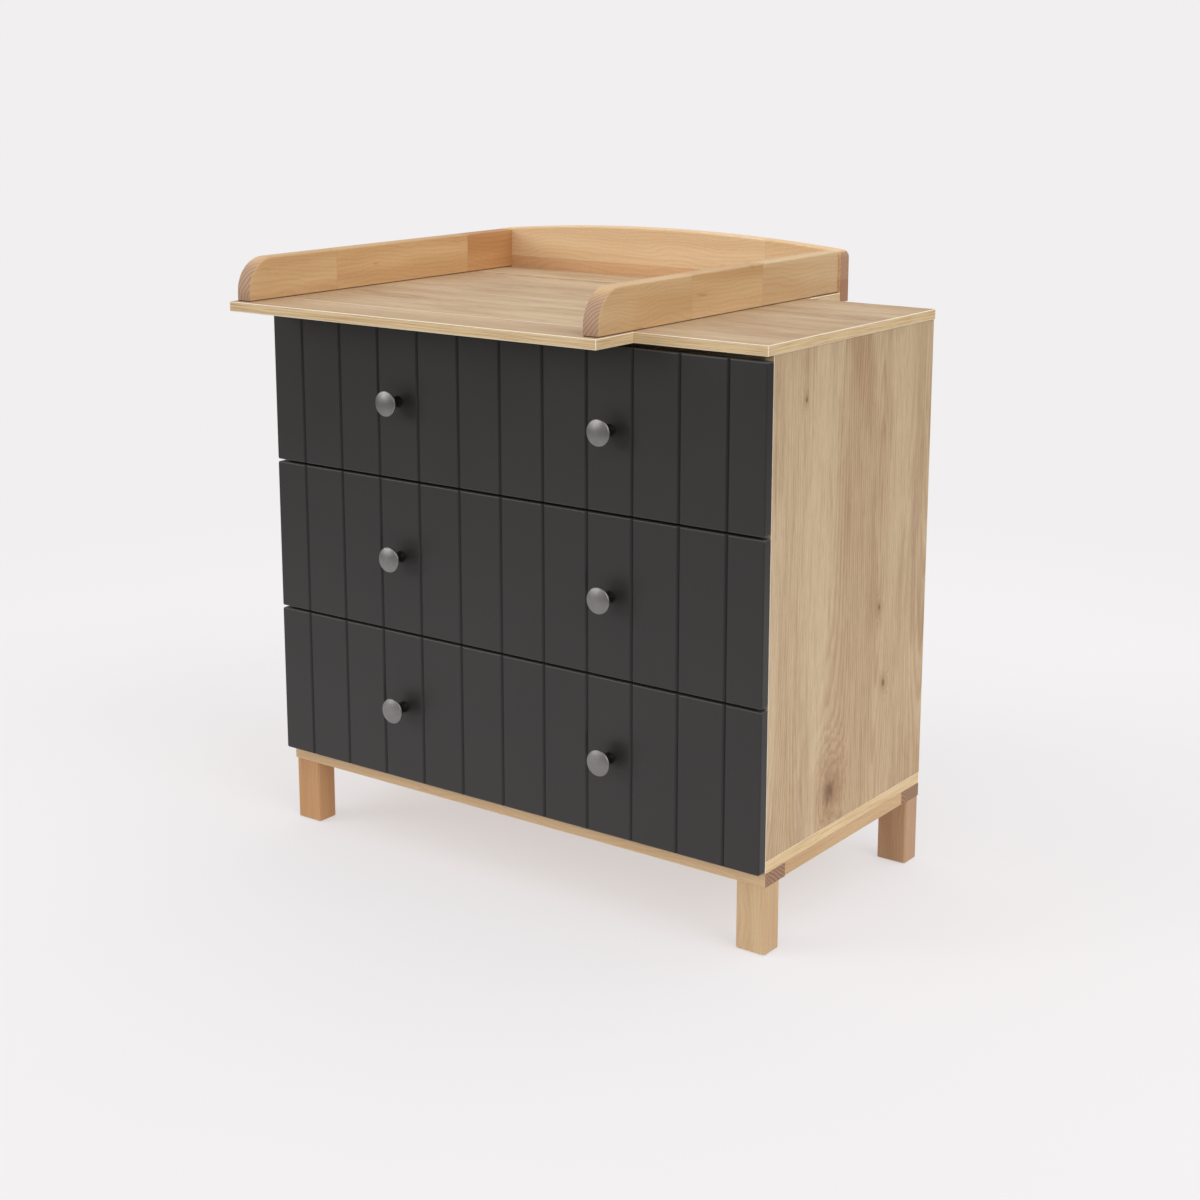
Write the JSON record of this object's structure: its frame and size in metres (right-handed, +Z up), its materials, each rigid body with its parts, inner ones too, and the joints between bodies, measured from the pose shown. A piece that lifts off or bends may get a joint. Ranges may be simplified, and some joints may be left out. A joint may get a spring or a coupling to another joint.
{
  "type": "changing table",
  "caption": "Chest with full-width drawers in grooved anthracite fronts on a legged wooden base, with a rimmed changing frame level with its oak-look top.",
  "frame": {"origin": "on the floor, at the middle of the whole piece's outline", "axes": "+X to the right end of the chest, -Y the way the drawers open, +Z up"},
  "size_m": [0.965, 0.715, 1.002],
  "materials": {
    "oak_decor": "oak-look decor on board, matt with a fine pore",
    "rail_wood": "solid hardwood in glued lamellas, clear lacquered, satin",
    "base_wood": "solid hardwood, clear lacquered, satin",
    "leg_wood": "solid hardwood, clear lacquered, satin",
    "anthracite_lacquer": "matt anthracite lacquer on fibreboard",
    "satin_pewter": "satin pewter-coloured metal",
    "box_board": "pale board, matt",
    "hardboard": "pale coated hardboard",
    "zinc_steel": "zinc-plated steel",
    "dowel_wood": "plain beech",
    "glide_plastic": "pale plastic"
  },
  "bodies": {
    "carcass": {"back_panel": "hardboard", "back_rail_screws": "zinc_steel", "base_back_rail": "base_wood", "base_front_rail": "base_wood", "base_left_rail": "base_wood", "base_right_rail": "base_wood", "base_screws": "zinc_steel", "bottom_board": "oak_decor", "cam_bolts": "zinc_steel", "cam_locks": "zinc_steel", "changing_rail_back": "rail_wood", "changing_rail_left": "rail_wood", "changing_rail_right": "rail_wood", "changing_strip_back": "oak_decor", "changing_strip_front": "oak_decor", "dowels": "dowel_wood", "foot_glides": "glide_plastic", "front_stretcher": "oak_decor", "leg_back_left": "leg_wood", "leg_back_right": "leg_wood", "leg_front_left": "leg_wood", "leg_front_right": "leg_wood", "leg_screws": "zinc_steel", "rail_screws": "zinc_steel", "side_panel_left": "oak_decor", "side_panel_right": "oak_decor", "slide_cabinet_channels": "zinc_steel", "top_board": "oak_decor"},
    "drawer_bottom": {"drawer_back_bottom": "box_board", "drawer_brackets_bottom": "zinc_steel", "drawer_floor_bottom": "hardboard", "drawer_front_bottom": "anthracite_lacquer", "drawer_screws_bottom": "zinc_steel", "drawer_side_left_bottom": "box_board", "drawer_side_right_bottom": "box_board", "knobs_bottom": "satin_pewter", "slide_drawer_bottom": "zinc_steel"},
    "runner_bottom": {"slide_middle_bottom": "zinc_steel"},
    "drawer_middle": {"drawer_back_middle": "box_board", "drawer_brackets_middle": "zinc_steel", "drawer_floor_middle": "hardboard", "drawer_front_middle": "anthracite_lacquer", "drawer_screws_middle": "zinc_steel", "drawer_side_left_middle": "box_board", "drawer_side_right_middle": "box_board", "knobs_middle": "satin_pewter", "slide_drawer_middle": "zinc_steel"},
    "runner_middle": {"slide_middle_middle": "zinc_steel"},
    "drawer_top": {"drawer_back_top": "box_board", "drawer_brackets_top": "zinc_steel", "drawer_floor_top": "hardboard", "drawer_front_top": "anthracite_lacquer", "drawer_screws_top": "zinc_steel", "drawer_side_left_top": "box_board", "drawer_side_right_top": "box_board", "knobs_top": "satin_pewter", "slide_drawer_top": "zinc_steel"},
    "runner_top": {"slide_middle_top": "zinc_steel"}
  },
  "joints": [
    {"name": "drawer_bottom_slide", "type": "slide", "parent": "carcass", "child": "drawer_bottom", "axis": [0, -1, 0], "range_m": [0, 0.45]},
    {"name": "runner_bottom_slide", "type": "slide", "parent": "carcass", "child": "runner_bottom", "axis": [0, -1, 0], "range_m": [0, 0.225]},
    {"name": "drawer_middle_slide", "type": "slide", "parent": "carcass", "child": "drawer_middle", "axis": [0, -1, 0], "range_m": [0, 0.45]},
    {"name": "runner_middle_slide", "type": "slide", "parent": "carcass", "child": "runner_middle", "axis": [0, -1, 0], "range_m": [0, 0.225]},
    {"name": "drawer_top_slide", "type": "slide", "parent": "carcass", "child": "drawer_top", "axis": [0, -1, 0], "range_m": [0, 0.45]},
    {"name": "runner_top_slide", "type": "slide", "parent": "carcass", "child": "runner_top", "axis": [0, -1, 0], "range_m": [0, 0.225]}
  ],
  "couplings": [
    {"joint": "runner_bottom_slide", "follows": "drawer_bottom_slide", "ratio": 0.5},
    {"joint": "runner_middle_slide", "follows": "drawer_middle_slide", "ratio": 0.5},
    {"joint": "runner_top_slide", "follows": "drawer_top_slide", "ratio": 0.5}
  ]
}
